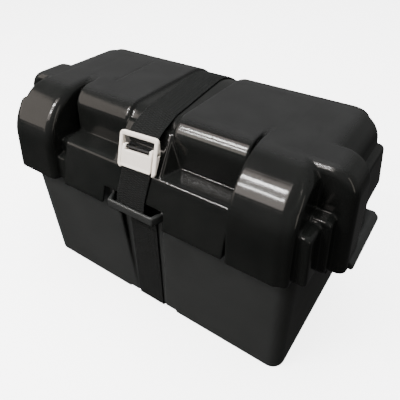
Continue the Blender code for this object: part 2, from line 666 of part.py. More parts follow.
make_tub(tub_black)
make_lid(lid_black)
add_object("strap_top", ribbon(strap_top_path(), STRAP_W, STRAP_T), webbing)
add_object("strap_front", ribbon(strap_front_path(), STRAP_W, STRAP_T), webbing)
add_object("strap_under", ribbon(strap_under_path(), STRAP_W, STRAP_T), webbing)
make_buckle(cream, steel)
make_battery(case_black, cover_grey, plates, lead, steel, cap_black,
             {"negative": ring_black, "positive": ring_red})
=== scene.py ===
"""Visual model of a battery box, its strap and the battery inside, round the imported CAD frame.

The plastic mouldings are distance fields, negative inside, joined and cut with rounded
edges, and meshed with surface nets. Lengths are millimetres until a mesh is made.
"""

import math

import bmesh
import bpy
import numpy as np
from mathutils import Matrix, Vector


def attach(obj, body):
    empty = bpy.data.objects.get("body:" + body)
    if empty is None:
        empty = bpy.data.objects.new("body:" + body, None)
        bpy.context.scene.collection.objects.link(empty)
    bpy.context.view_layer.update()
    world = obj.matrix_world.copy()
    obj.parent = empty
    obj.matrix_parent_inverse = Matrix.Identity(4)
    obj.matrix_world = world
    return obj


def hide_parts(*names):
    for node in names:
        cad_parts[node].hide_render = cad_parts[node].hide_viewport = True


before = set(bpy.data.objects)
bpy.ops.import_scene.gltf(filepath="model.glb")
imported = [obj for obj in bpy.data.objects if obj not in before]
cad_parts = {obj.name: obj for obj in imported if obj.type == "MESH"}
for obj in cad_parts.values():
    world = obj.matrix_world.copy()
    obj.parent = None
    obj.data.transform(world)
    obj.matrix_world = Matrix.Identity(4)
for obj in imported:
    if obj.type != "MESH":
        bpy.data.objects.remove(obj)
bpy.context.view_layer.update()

MM = 0.001

# ---- box dimensions, as in the CAD ------------------------------------------------------
TUB_A, TUB_B = 174.9, 90.8
TUB_DRAFT_A, TUB_DRAFT_B = 0.034, 0.042
TUB_R = 15.0
TUB_TOP = 175.0
TUB_WALL = 3.3
TUB_FLOOR = 7.5

LID_FOOT, LID_TOP = 150.7, 255.0
LID_A, LID_B = 188.7, 112.0
LID_DRAFT = 0.046
LID_R = 16.0
LID_WALL = 3.0
SIDE_R = 64.2
END_R = 30.0
BLOCK_R = 24.0
SKIRT_X = 105.0                     # -X end of the set-back skirt
LEDGE_Y, LEDGE_Z = 95.5, 201.8
GROOVE_X, GROOVE_D = 30.0, 4.0
SLOT_LEFT, SLOT_RIGHT = 109.0, 113.8    # where the block ends, toward -X and +X
COLUMN_X = 117.0                    # inner face of the corner columns
COLUMN_EDGE = {-1: 9.0, 1: 2.6}     # edge radius of the corner column at each end
CENTRE_X = 132.0                    # how far the middle of the lid runs into the ends
NOTCH_X, NOTCH_Z = 41.0, 170.0      # skirt notch round each strap guide
END_SLOT_X = 174.0                  # wall of the end slots at the -X end
END_WALL_X = 179.2                  # wall of the +X end beside its bulges
BEYOND = 260.0                      # any length past the ends of the box
END_RIBS = {
    # end: (y0, y1, outer X, top) of its middle and low rib
    -1: ((59.0, 72.0, 198.0, 207.0), (58.0, 87.6, 189.5, 190.0)),
    1: ((59.0, 73.5, 200.5, 209.0), (58.0, 97.2, 192.5, 205.0)),
}
SIDE_Z = LID_TOP - SIDE_R
END_Z = LID_TOP - END_R
FLAT_Y = LID_B - LID_DRAFT * (SIDE_Z - LID_FOOT) - SIDE_R
FLAT_X = LID_A - LID_DRAFT * (END_Z - LID_FOOT) - END_R
STRAP_W, STRAP_T = 38.0, 1.6
GAP = 0.3


# ---- fields -----------------------------------------------------------------------------
def outline_distance(points, u, v):
    """Signed distance from a closed outline, negative inside. u and v broadcast together."""
    shape = np.broadcast_shapes(u.shape, v.shape)
    best = np.full(shape, 1e12, np.float32)
    inside = np.zeros(shape, bool)
    for (ax, ay), (bx, by) in zip(points, points[1:] + points[:1]):
        ex, ey = bx - ax, by - ay
        size = ex * ex + ey * ey
        if size < 1e-9:
            continue
        wu, wv = u - ax, v - ay
        t = np.clip((wu * ex + wv * ey) / size, 0.0, 1.0)
        best = np.minimum(best, (wu - t * ex) ** 2 + (wv - t * ey) ** 2)
        if abs(ey) > 1e-9:
            inside ^= ((ay <= v) != (by <= v)) & (u < ax + (v - ay) * (ex / ey))
    return np.where(inside, -1.0, 1.0) * np.sqrt(best)


def arc(cx, cy, r, start, end, steps):
    """Points of an arc in degrees, both ends included."""
    angles = [math.radians(start + (end - start) * i / steps) for i in range(steps + 1)]
    return [(cx + r * math.cos(t), cy + r * math.sin(t)) for t in angles]


def rounded_max(a, b, radius, weighted=True):
    """Where both fields are inside, with a fillet that fades where the surfaces agree."""
    a, b = np.broadcast_arrays(a, b)
    if weighted:
        ga = np.gradient(a)
        gb = np.gradient(b)
        dot = sum(p * q for p, q in zip(ga, gb))
        size = np.sqrt(sum(p * p for p in ga) * sum(q * q for q in gb)) + 1e-6
        radius = radius * np.clip(1.0 - dot / size, 0.0, 1.0)
    ua = np.maximum(a + radius, 0.0)
    ub = np.maximum(b + radius, 0.0)
    return np.minimum(-radius, np.maximum(a, b)) + np.sqrt(ua * ua + ub * ub)


class Field:
    """A distance field on a regular grid of points, edited in windows of itself."""

    def __init__(self, low, high, step):
        self.step = step
        self.axes = []
        for lo, hi in zip(low, high):
            self.axes.append((lo + step * np.arange(int((hi - lo) / step) + 2)).astype(np.float32))
        self.value = np.full([len(axis) for axis in self.axes], 50.0, np.float32)

    def window(self, low, high):
        """The slices of a box of the grid, and its coordinates ready to broadcast."""
        cuts, coords = [], []
        for i, axis in enumerate(self.axes):
            first = max(0, int(np.searchsorted(axis, low[i])) - 1)
            last = min(len(axis), int(np.searchsorted(axis, high[i])) + 1)
            cuts.append(slice(first, last))
            shape = [1, 1, 1]
            shape[i] = -1
            coords.append(axis[first:last].reshape(shape))
        return tuple(cuts), coords

    def add(self, shape, low, high, radius):
        """Joins a shape to the field, with a fillet of that radius."""
        cuts, coords = self.window(low, high)
        old = self.value[cuts]
        new = np.broadcast_to(shape(*coords), old.shape)
        self.value[cuts] = -rounded_max(-old, -new, radius)

    def cut(self, shape, low, high, radius):
        """Takes a shape away, with its edges rounded to that radius."""
        cuts, coords = self.window(low, high)
        old = self.value[cuts]
        new = np.broadcast_to(shape(*coords), old.shape)
        self.value[cuts] = rounded_max(old, -new, radius)

    def sample(self, points):
        """The outward direction of the field at each point."""
        grid = [(points[:, i] - self.axes[i][0]) / self.step for i in range(3)]
        base, part = [], []
        for i in range(3):
            whole = np.clip(np.floor(grid[i]).astype(int), 1, len(self.axes[i]) - 3)
            base.append(whole)
            part.append(np.clip(grid[i] - whole, 0.0, 1.0))
        normal = np.zeros((len(points), 3))
        for dx in (0, 1):
            for dy in (0, 1):
                for dz in (0, 1):
                    weight = ((part[0] if dx else 1 - part[0]) * (part[1] if dy else 1 - part[1])
                              * (part[2] if dz else 1 - part[2]))
                    i, j, k = base[0] + dx, base[1] + dy, base[2] + dz
                    v = self.value
                    normal[:, 0] += weight * (v[i + 1, j, k] - v[i - 1, j, k])
                    normal[:, 1] += weight * (v[i, j + 1, k] - v[i, j - 1, k])
                    normal[:, 2] += weight * (v[i, j, k + 1] - v[i, j, k - 1])
        return normal / (np.linalg.norm(normal, axis=1, keepdims=True) + 1e-9)

    def surface(self):
        """Surface nets: the vertices and the quads of the zero surface."""
        value = self.value
        cells = [n - 1 for n in value.shape]
        total = np.zeros((cells[0] * cells[1] * cells[2], 3))
        count = np.zeros(len(total))
        quads = []
        for axis in range(3):
            u, v = (axis + 1) % 3, (axis + 2) % 3
            near = [slice(None)] * 3
            far = [slice(None)] * 3
            near[axis], far[axis] = slice(0, -1), slice(1, None)
            a, b = value[tuple(near)], value[tuple(far)]
            index = np.argwhere((a < 0) != (b < 0))
            va = a[tuple(index.T)].astype(float)
            vb = b[tuple(index.T)].astype(float)
            place = index.astype(float)
            place[:, axis] += va / (va - vb)
            ring = []
            inner = np.ones(len(index), bool)
            for du, dv in ((0, 0), (1, 0), (1, 1), (0, 1)):
                cell = index.copy()
                cell[:, u] -= du
                cell[:, v] -= dv
                good = np.all((cell >= 0) & (cell < cells), axis=1)
                inner &= good
                flat = (cell[:, 0] * cells[1] + cell[:, 1]) * cells[2] + cell[:, 2]
                ring.append(flat)
                for k in range(3):
                    total[:, k] += np.bincount(flat[good], place[good, k], len(total))
                count += np.bincount(flat[good], minlength=len(total))
            ring = np.stack(ring, axis=1)[inner]
            flip = va[inner] < 0
            ring[flip] = ring[flip][:, ::-1]
            quads.append(ring)
        used = count > 0
        number = np.cumsum(used) - 1
        verts = total[used] / count[used, None]
        verts = verts * self.step + np.array([axis[0] for axis in self.axes])
        return verts, number[np.concatenate(quads)][:, ::-1]


def mesh_object(name, verts, faces, smooth=True):
    """A mesh object at the origin from points in millimetres."""
    mesh = bpy.data.meshes.new(name)
    mesh.from_pydata((np.asarray(verts) * MM).tolist(), [], np.asarray(faces).tolist())
    mesh.validate()
    if smooth:
        mesh.shade_smooth()
    ob = bpy.data.objects.new(name, mesh)
    bpy.context.scene.collection.objects.link(ob)
    return ob


def bake_modifiers(ob):
    """Turns an object's modifiers into plain mesh."""
    deps = bpy.context.evaluated_depsgraph_get()
    mesh = bpy.data.meshes.new_from_object(ob.evaluated_get(deps))
    ob.modifiers.clear()
    ob.data = mesh


def moulded(name, field, keep, place=None):
    """The mesh of a field, thinned on its flat faces, with the field's own normals."""
    verts, quads = field.surface()
    ob = mesh_object(name, verts, quads)
    if keep < 1.0:
        thin = ob.modifiers.new("thin", "DECIMATE")
        thin.ratio = keep
        bake_modifiers(ob)
    mesh = ob.data
    points = np.empty(len(mesh.vertices) * 3)
    mesh.vertices.foreach_get("co", points)
    normals = field.sample(points.reshape(-1, 3) / MM)
    if place is not None:
        mesh.transform(place)
        normals = normals @ np.array(place.to_3x3()).T
        if place.to_3x3().determinant() < 0:
            mesh.flip_normals()
    mesh.shade_smooth()
    mesh.normals_split_custom_set_from_vertices(normals.tolist())
    return ob


# ---- lid --------------------------------------------------------------------------------
BULGES = (
    # end, (y0, y1), foot, outer X at the foot, outer X at the shoulder, radius, top, edge
    (1, (-60.0, -17.0), 143.0, 214.2, 212.4, 27.0, 254.7, 9.0),
    (1, (-45.0, 60.0), 200.0, 197.6, 197.4, 29.0, 254.7, 7.0),
    (1, (-45.0, 18.0), 150.7, 209.6, 205.2, 6.0, 222.5, 5.0),
    (1, (-10.0, 60.0), 177.0, 208.1, 205.2, 6.0, 222.5, 5.0),
    (-1, (-60.0, -14.0), 150.7, 208.4, 205.2, 27.0, 254.7, 9.0),
    (-1, (-45.0, 60.0), 150.7, 208.4, 203.0, 43.0, 254.7, 8.0),
)


def lid_envelope(x, y, z):
    """The plain rounded block of the lid, open downward."""
    def half(flat, reach, r, top_z):
        foot = 60.0
        wide = reach + LID_DRAFT * (LID_FOOT - foot)
        return [(wide, foot)] + arc(flat, top_z, r, 0, 90, 60)

    side = half(FLAT_Y, LID_B, SIDE_R, SIDE_Z)
    end = half(FLAT_X, LID_A, END_R, END_Z)
    side = side + [(-p, q) for p, q in reversed(side)]
    end = end + [(-p, q) for p, q in reversed(end)]
    across = outline_distance(side, y, z)
    along = outline_distance(end, x, z)
    rise_across = np.gradient(across, y.ravel(), axis=1) ** 2
    rise_along = np.gradient(along, x.ravel(), axis=0) ** 2
    up_across = np.sqrt(np.clip(1.0 - rise_across, 0.0, 1.0))
    up_along = np.sqrt(np.clip(1.0 - rise_along, 0.0, 1.0))
    radius = LID_R * (1.0 - up_across * up_along)
    return rounded_max(across, along, radius, weighted=False)


def prism_x(points, x0, x1, radius):
    """A field of an outline in (y, z) carried along X."""
    def shape(x, y, z):
        ends = np.abs(x - (x0 + x1) / 2) - (x1 - x0) / 2
        return rounded_max(outline_distance(points, y, z) + 0 * x, ends + 0 * y + 0 * z, radius)
    return shape


def prism_y(points, y0, y1, radius):
    """A field of an outline in (x, z) carried along Y."""
    def shape(x, y, z):
        ends = np.abs(y - (y0 + y1) / 2) - (y1 - y0) / 2
        return rounded_max(outline_distance(points, x, z) + 0 * y, ends + 0 * x + 0 * z, radius)
    return shape


def prism_z(points, z0, z1, radius):
    """A field of a plan outline carried along Z."""
    def shape(x, y, z):
        ends = np.abs(z - (z0 + z1) / 2) - (z1 - z0) / 2
        return rounded_max(outline_distance(points, x, y) + 0 * z, ends + 0 * x + 0 * y, radius)
    return shape


def brick(x0, x1, y0, y1, z0, z1, radius=1.0):
    """A field of a block."""
    return prism_z([(x0, y0), (x1, y0), (x1, y1), (x0, y1)], z0, z1, radius)


def mirrored(points, sign):
    """An outline with its first coordinate turned over where the sign is -1."""
    return [(sign * p, q) for p, q in points]


def lid_field(step):
    """The lid: its middle and its two ends are cut apart, then joined and hollowed."""
    low, high = (-214.0, -118.0, 140.0), (220.0, 118.0, 260.0)
    field = Field(low, high, step)
    cuts, coords = field.window(low, high)
    field.value[cuts] = lid_envelope(*coords)
    for sy in (-1, 1):
        y0, y1 = sorted((sy * 59.5, sy * 87.0))
        field.cut(brick(-BEYOND, -END_SLOT_X, y0, y1, 90.0, 330.0, 4.0), (-230.0, y0 - 12, 130.0),
                  (-162.0, y1 + 12, 270.0), 5.0)
        y0, y1 = sorted((sy * 59.5, sy * 160.0))
        near, far = (150.0, max(y0 - 12, -130.0), 130.0), (230.0, min(y1 + 12, 130.0), 270.0)
        field.cut(brick(END_WALL_X, BEYOND, y0, y1, 90.0, 330.0, 1.0), near, far, LID_R)
    for sign, (y0, y1), foot, out_foot, out_top, r, top, edge in BULGES:
        low_z = 100.0 if foot <= 155.0 else foot
        slope = (out_foot - out_top) / (top - foot)
        points = [(120.0, low_z), (out_foot + slope * (foot - low_z), low_z)]
        points += arc(out_top - r, top - r, r, 0, 90, 40) + [(120.0, top)]
        near = (150.0 if sign > 0 else -230.0, y0 - 8, 130.0)
        far = (230.0 if sign > 0 else -150.0, y1 + 8, 270.0)
        field.add(prism_y(mirrored(points, sign), y0, y1, edge), near, far, 2.5)
    for sx in (-1, 1):
        for sy in (-1, 1):
            for ya, yb, reach, top in END_RIBS[sx]:
                points = [(165.0, 100.0), (reach, 100.0)]
                points += arc(reach - 7.5, top - 6.0, 6.0, 0, 90, 12) + [(165.0, top)]
                y0, y1 = sorted((sy * ya, sy * yb))
                near = (150.0 if sx > 0 else -215.0, y0 - 6, 130.0)
                far = (215.0 if sx > 0 else -150.0, y1 + 6, top + 8)
                field.add(prism_y(mirrored(points, sx), y0, y1, 3.0), near, far, 2.0)
    ends = field.value.copy()
    back = FLAT_Y + BLOCK_R
    bay = [(-FLAT_Y + 0.01, 320.0)] + arc(-FLAT_Y, LID_TOP - BLOCK_R, BLOCK_R, 90, 180, 40)
    bay += [(-back - 1.0, LEDGE_Z + 2.4), (-LEDGE_Y, LEDGE_Z), (-200.0, LEDGE_Z - 9.5),
            (-200.0, 320.0)]
    field.cut(prism_x(bay, -BEYOND, BEYOND, 2.0), (-150.0, -130.0, 185.0), (150.0, -36.0, 270.0),
              2.0)
    slope = (110.0 - LEDGE_Y) / (LEDGE_Z - LID_FOOT)
    skirt = [(-LEDGE_Y, LEDGE_Z + 10.0), (-LEDGE_Y, LEDGE_Z),
             (-LEDGE_Y - slope * (LEDGE_Z - 100.0), 100.0), (-210.0, 100.0),
             (-210.0, LEDGE_Z + 10.0)]
    field.cut(prism_x(skirt, -SKIRT_X, SLOT_RIGHT, 3.0), (-125.0, -130.0, 130.0),
              (132.0, -80.0, 214.0), 2.2)
    slot = [(-26.0, 330.0)] + arc(-26.0, 228.5, 26.3, 90, 180, 40)
    slot += [(-52.3, 198.0), (-140.0, 198.0), (-140.0, 330.0)]
    gutter = [(-91.0, 203.5), (-92.5, 182.0), (-101.9, 179.0), (-104.5, 90.0), (-140.0, 90.0),
              (-140.0, 203.5)]
    for sx in (-1, 1):
        inner = SLOT_LEFT if sx < 0 else SLOT_RIGHT
        x0, x1 = sorted((sx * inner, sx * BEYOND))
        far_x = sorted((sx * (inner - 10.0), sx * 150.0))
        field.cut(prism_x(slot, x0, x1, 2.5), (far_x[0], -130.0, 185.0), (far_x[1], -10.0, 270.0),
                  2.6)
        inner = SKIRT_X if sx < 0 else SLOT_RIGHT
        x0, x1 = sorted((sx * (inner - 0.5), sx * BEYOND))
        far_x = sorted((sx * (inner - 8.5), sx * 150.0))
        field.cut(prism_x(gutter, x0, x1, 2.5), (far_x[0], -130.0, 130.0),
                  (far_x[1], -82.0, 212.0), 2.2)
    along = field.axes[0].reshape(-1, 1, 1)
    field.value = np.maximum(field.value, np.abs(along) - CENTRE_X)
    near = np.abs(field.axes[0]) < CENTRE_X + 13.0
    edge = np.where(along[near] < 0.0, COLUMN_EDGE[-1], COLUMN_EDGE[1])
    ends[near] = rounded_max(ends[near], COLUMN_X - np.abs(along[near]), edge)
    field.value = -rounded_max(-field.value, -ends, 1.0)
    d = GROOVE_D
    groove = [(-FLAT_Y - BLOCK_R + d, 222.0)]
    groove += arc(-FLAT_Y, LID_TOP - BLOCK_R, BLOCK_R - d, 180, 90, 40)
    groove += arc(FLAT_Y, SIDE_Z, SIDE_R - d, 90, 0, 60)
    groove += [(LID_B - d + 1.0, 100.0), (230.0, 100.0), (230.0, 330.0), (-230.0, 330.0),
               (-230.0, 222.0)]
    field.cut(prism_x(groove, -GROOVE_X, GROOVE_X, 1.5), (-42.0, -130.0, 130.0),
              (42.0, 130.0, 270.0), 2.8)
    wedge = [(-60.0, 239.6), (-68.6, 239.6), (-93.6, 202.2), (-93.6, 199.5), (-60.0, 199.5)]

    def wedge_body(x, y, z):
        side = 0.868 * (np.abs(x) - 29.0) - 0.3815 * (y + 68.6) + 0.313 * (z - 239.6)
        return rounded_max(outline_distance(wedge, y, z) + 0 * x, side, 1.6)

    field.add(wedge_body, (-52.0, -104.0, 192.0), (52.0, -56.0, 248.0), 1.2)

    def crease(x, y, z):
        line = (x + 88.1 + 0.0423 * y) / 1.0009
        ends = np.abs(y - 8.5) - 35.5
        return np.maximum(np.maximum(np.abs(line) - 1.3, ends) + 0 * z, 254.3 - z)

    field.cut(crease, (-98.0, -34.0, 246.0), (-78.0, 50.0, 262.0), 0.8)
    field.value = np.maximum(field.value, -(field.value + LID_WALL))
    ear = brick(182.0, 240.0, -66.0, -45.5, 143.0, 170.0, 0.5)

    def below(x, y, z):
        return np.maximum(z - LID_FOOT + 0 * x + 0 * y, -ear(x, y, z))

    def ear_foot(x, y, z):
        return z - 143.0 + 0 * x + 0 * y

    field.cut(below, (-230.0, -130.0, 130.0), (230.0, 130.0, 164.0), 0.9)
    field.cut(ear_foot, (-230.0, -130.0, 130.0), (230.0, 130.0, 148.0), 0.9)
    for sy in (-1, 1):
        y0, y1 = sorted((sy * 89.0, sy * 140.0))
        field.cut(brick(-NOTCH_X, NOTCH_X, y0, y1, 100.0, NOTCH_Z, 2.0), (-50.0, y0 - 8, 130.0),
                  (50.0, y1, 178.0), 1.0)
    for sx in (-1, 1):
        x0, x1 = sorted((sx * 150.0, sx * 154.0))
        for sy in (-1, 1):
            y0, y1 = sorted((sy * 94.0, sy * 108.8))
            field.add(brick(x0, x1, y0, y1, TUB_TOP + GAP, 186.0, 0.5), (x0 - 5, y0 - 5, 168.0),
                      (x1 + 5, y1 + 5, 192.0), 0.8)
    return field


# ---- tub --------------------------------------------------------------------------------
def tub_walls(inset, floor, top):
    """The drafted block of the tub, moved inward by inset."""
    def shape(x, y, z):
        a = np.abs(x) - (TUB_A + TUB_DRAFT_A * z - inset) + 0 * y
        b = np.abs(y) - (TUB_B + TUB_DRAFT_B * z - inset) + 0 * x
        sides = rounded_max(a, b, TUB_R - inset, weighted=False)
        bottom = floor - z + 0 * x + 0 * y
        body = rounded_max(sides, bottom, 3.0, weighted=False)
        return rounded_max(body, z - top + 0 * x + 0 * y, 0.9, weighted=False)
    return shape


def tapered_channel(y0, y1, wide, narrow, z_wide, z_narrow):
    """A recess along both long walls whose width shrinks downward."""
    def shape(x, y, z):
        half = narrow + (z - z_narrow) * (wide - narrow) / (z_wide - z_narrow)
        sides = np.abs(x) - half + 0 * y
        depth = np.maximum(y0 - np.abs(y), np.abs(y) - y1) + 0 * x + 0 * z
        return rounded_max(sides, depth, 1.5, weighted=False)
    return shape


def tub_field(step):
    """The tub with its strap channels, guide loops and carrying lugs."""
    low, high = (-219.5, -113.5, -2.0), (219.5, 113.5, 178.0)
    field = Field(low, high, step)
    cuts, coords = field.window(low, high)
    field.value[cuts] = tub_walls(0.0, 0.0, TUB_TOP)(*coords)
    loop = [(-37.5, -94.0), (-31.0, -111.6), (31.0, -111.6), (37.5, -94.0)]
    eye = [(-33.5, -88.0), (-27.5, -108.3), (27.5, -108.3), (33.5, -88.0)]
    lug = [(165.0, 138.4), (210.0, 138.4), (211.6, 137.2), (216.0, 137.2), (217.8, 140.0),
           (217.4, 144.5), (212.6, 149.6), (165.0, 149.6)]
    for sy in (-1, 1):
        outer = [(p, -sy * q) for p, q in loop]
        y0, y1 = sorted((sy * 86.0, sy * 116.0))
        field.add(prism_z(outer, 151.0, 162.0, 1.6), (-48.0, y0, 142.0), (48.0, y1, 170.0), 1.8)
    for sx in (-1, 1):
        x0, x1 = sorted((sx * 168.0, sx * 224.0))
        field.add(prism_y(mirrored(lug, sx), -43.0, 43.0, 2.2), (x0, -52.0, 128.0),
                  (x1, 52.0, 158.0), 2.2)
    everywhere = (-230.0, -130.0, -10.0), (230.0, 130.0, 190.0)
    field.cut(tub_walls(TUB_WALL, TUB_FLOOR, 400.0), *everywhere, 0.9)
    for sy in (-1, 1):
        y0, y1 = sorted((sy * 82.0, sy * 116.0))
        field.cut(tapered_channel(90.05, 99.7, 34.0, 20.5, 190.0, -10.0), (-46.0, y0, -10.0),
                  (46.0, y1, 190.0), 1.6)
        inner = [(p, -sy * q) for p, q in eye]
        field.cut(prism_z(inner, 130.0, 190.0, 1.0), (-42.0, y0, 130.0), (42.0, y1, 190.0), 1.4)

        def lining(x, y, z):
            half = 25.0 + (z - 4.0) * 13.5 / (TUB_TOP - 4.0)
            depth = np.maximum(87.0 - np.abs(y), np.abs(y) - 90.05)
            wide = np.abs(x) - half
            tall = np.maximum(4.0 - z, z - TUB_TOP)
            return np.maximum(np.maximum(wide + 0 * y, depth + 0 * x + 0 * z), tall + 0 * x + 0 * y)

        field.add(lining, (-42.0, y0, -5.0), (42.0, y1, 178.0), 1.0)
    field.cut(brick(-36.5, 36.5, -140.0, 140.0, -20.0, 4.5), (-44.0, -130.0, -10.0),
              (44.0, 130.0, 12.0), 1.2)
    for sx in (-1, 1):
        x0, x1 = sorted((sx * 192.0, sx * 208.0))
        field.cut(brick(x0, x1, -36.0, 36.0, 100.0, 146.6, 2.0), (x0 - 8, -44.0, 128.0),
                  (x1 + 8, 44.0, 154.0), 1.2)
    return field


# ---- straps -----------------------------------------------------------------------------
def skew(y):
    """Sideways run of the strap over the lid, as in the CAD."""
    return max(-8.0, min(3.5, -2.4 - 0.13 * y))


def strap_top_path():
    """Centre line from the buckle over the lid to the rear guide."""
    lift = STRAP_T / 2 + GAP
    pts = [(-82.9, 227.0), (-83.4, 232.0), (-81.0, 238.0), (-73.0, 243.2)]
    pts += arc(-FLAT_Y, LID_TOP - BLOCK_R, BLOCK_R - GROOVE_D + lift, 115, 90, 5)
    pts += [(0.0, LID_TOP - GROOVE_D + lift)]
    pts += arc(FLAT_Y, SIDE_Z, SIDE_R - GROOVE_D + lift, 90, 0, 18)
    pts += [(109.4, 172.0), (106.4, 160.0)]
    return [(skew(y), y, z) for y, z in pts]


def strap_front_path():
    """Centre line from the buckle down to the front guide."""
    return [(3.0, -82.2, 224.4), (3.0, -96.6, 202.5), (2.6, -97.3, 200.3), (0.6, -101.2, 186.3),
            (-1.4, -105.2, 172.3), (-2.0, -106.9, 160.0)]


def strap_under_path():
    """Centre line from the front guide under the tub to the rear guide."""
    side = [(106.2, 156.5), (104.0, 151.0), (92.6, 138.0), (91.5, 128.0), (91.4, 8.0)]
    foot = [(91.3, 4.8), (90.4, 3.0), (88.4, 2.3), (0.0, 2.3)]
    front = [(-y, z) for y, z in side + foot]
    back = list(reversed(side + foot[:-1]))
    return [(0.0 if abs(y) < 100 else -2.0 * (y > 0) + 1.0, y, z) for y, z in front + back]


def even_path(points, pitch, rounds=2):
    """Corner-cut path points, spread evenly along the path."""
    pts = np.array(points, float)
    for _ in range(rounds):
        a, b = pts[:-1], pts[1:]
        near = np.minimum(0.25, 2.0 / np.maximum(np.linalg.norm(b - a, axis=1), 1e-6))[:, None]
        cut = np.stack([a + (b - a) * near, b - (b - a) * near], axis=1).reshape(-1, 3)
        pts = np.vstack([pts[:1], cut[1:-1], pts[-1:]])
    run = np.concatenate([[0.0], np.cumsum(np.linalg.norm(np.diff(pts, axis=0), axis=1))])
    keep = np.concatenate([[True], np.diff(run) > 1e-6])
    count = int(run[-1] / pitch) + 1
    at = np.linspace(0.0, run[-1], count + 1)
    return np.stack([np.interp(at, run[keep], pts[keep, k]) for k in range(3)], axis=1), at


RIB_PITCH = 2.6                     # from one cross rib of the webbing to the next
RIB_HIGH = 0.26
RIB_COLUMN = 4.75                   # width of the staggered columns of ribs


def webbing_strap(name, points):
    """A woven strap: a flat rounded section with cross ribs in two staggered bands."""
    path, run = even_path(points, RIB_PITCH / 5)
    ahead = np.gradient(path, axis=0)
    ahead /= np.linalg.norm(ahead, axis=1, keepdims=True)
    half, thick = STRAP_W / 2, STRAP_T / 2 - RIB_HIGH
    out = np.stack([0 * run, -ahead[:, 2], ahead[:, 1]], axis=1)
    out /= np.linalg.norm(out, axis=1, keepdims=True)
    across = np.linspace(-half + 0.7, half - 0.7, 27)
    section = [(-half + 0.7, -1.0), (-half + 0.2, -0.75), (-half, 0.0), (-half + 0.2, 0.75)]
    section += [(x, 1.0) for x in across]
    section += [(half - 0.2, 0.75), (half, 0.0), (half - 0.2, -0.75)]
    section += [(x, -1.0) for x in across[:0:-1]]
    n = len(section)
    verts = []
    for i, x_and_side in enumerate(section):
        x, side = x_and_side
        stagger = math.pi * (int((x + half) / RIB_COLUMN) % 2)
        rib = RIB_HIGH * np.sin(2 * math.pi * run / RIB_PITCH + stagger)
        edge = 0.0 if abs(x) > half - 1.0 else 1.0
        rise = side * (thick + rib * edge) if abs(side) == 1.0 else side * thick
        verts.append(path + out * np.reshape(rise + 0 * run, (-1, 1)) + np.array([x, 0, 0]))
    verts = np.stack(verts, axis=1).reshape(-1, 3)
    rows = len(path)
    faces = []
    for i in range(rows - 1):
        for k in range(n):
            a, b = i * n + k, i * n + (k + 1) % n
            faces.append((a, a + n, b + n, b))
    faces.append(tuple(range(n)))
    faces.append(tuple(reversed(range((rows - 1) * n, rows * n))))
    ob = mesh_from_rings(name, verts, faces)
    layer = ob.data.uv_layers.new(name="strap")
    for loop in ob.data.loops:
        row, k = divmod(loop.vertex_index, n)
        layer.data[loop.index].uv = (run[row] * MM, section[k][0] * MM)
    return ob


def mesh_from_rings(name, verts, faces):
    """A closed smooth mesh object from points in millimetres."""
    mesh = bpy.data.meshes.new(name)
    mesh.from_pydata((np.asarray(verts) * MM).tolist(), [], faces)
    bm = bmesh.new()
    bm.from_mesh(mesh)
    bmesh.ops.recalc_face_normals(bm, faces=bm.faces)
    bm.to_mesh(mesh)
    bm.free()
    mesh.shade_smooth()
    ob = bpy.data.objects.new(name, mesh)
    bpy.context.scene.collection.objects.link(ob)
    return ob


# ---- buckle -----------------------------------------------------------------------------
BUCKLE_TOP = Vector((0.0, -86.6, 240.2))
BUCKLE_FOOT = Vector((0.0, -99.6, 202.2))
BUCKLE_LEN = (BUCKLE_FOOT - BUCKLE_TOP).length
BUCKLE_STEP = 0.45                  # grid of the buckle's fields
PIN_AT, PIN_HOLE_R = (16.5, -3.2), 1.9


def buckle_matrix():
    """Local x is across, local y runs down the buckle, local z points out of its face."""
    down = (BUCKLE_FOOT - BUCKLE_TOP).normalized()
    out = Vector((0.0, down.z, -down.y))
    rot = Matrix((Vector((1.0, 0.0, 0.0)), down, out)).transposed().to_4x4()
    lean = Matrix.Rotation(math.radians(-3.0), 4, "Z")
    at = (BUCKLE_TOP + Vector((1.4, 0.0, 0.0))) * MM
    return Matrix.Translation(at) @ rot @ lean


def rod_along_x(y0, z0, r):
    """A field of an endless rod."""
    def shape(x, y, z):
        return np.sqrt((y - y0) ** 2 + (z - z0) ** 2) - r + 0 * x
    return shape


def buckle_frame_field():
    """The buckle's frame, in buckle coordinates."""
    low, high = (-27.0, -2.0, -8.5), (27.0, 42.5, 2.0)
    field = Field(low, high, BUCKLE_STEP)
    side = [(-2.0, 0.0), (50.0, 0.0), (50.0, -3.4), (34.0, -3.4), (21.0, -6.2), (12.0, -6.2),
            (5.0, -3.8), (-2.0, -3.8)]
    cuts, (x, y, z) = field.window(low, high)
    mid = BUCKLE_LEN / 2
    a = np.abs(x) - 25.2 + 0 * y
    b = np.abs(y - mid) - mid + 0 * x
    plan = rounded_max(a, b, 5.0, weighted=False)
    field.value[cuts] = rounded_max(plan, outline_distance(side, y, z) + 0 * x, 1.5,
                                    weighted=False)
    field.cut(brick(-20.2, 20.2, 5.2, 60.0, -20.0, 20.0, 0.5), low, high, 1.3)
    field.cut(rod_along_x(*PIN_AT, PIN_HOLE_R), low, high, 0.3)
    return field


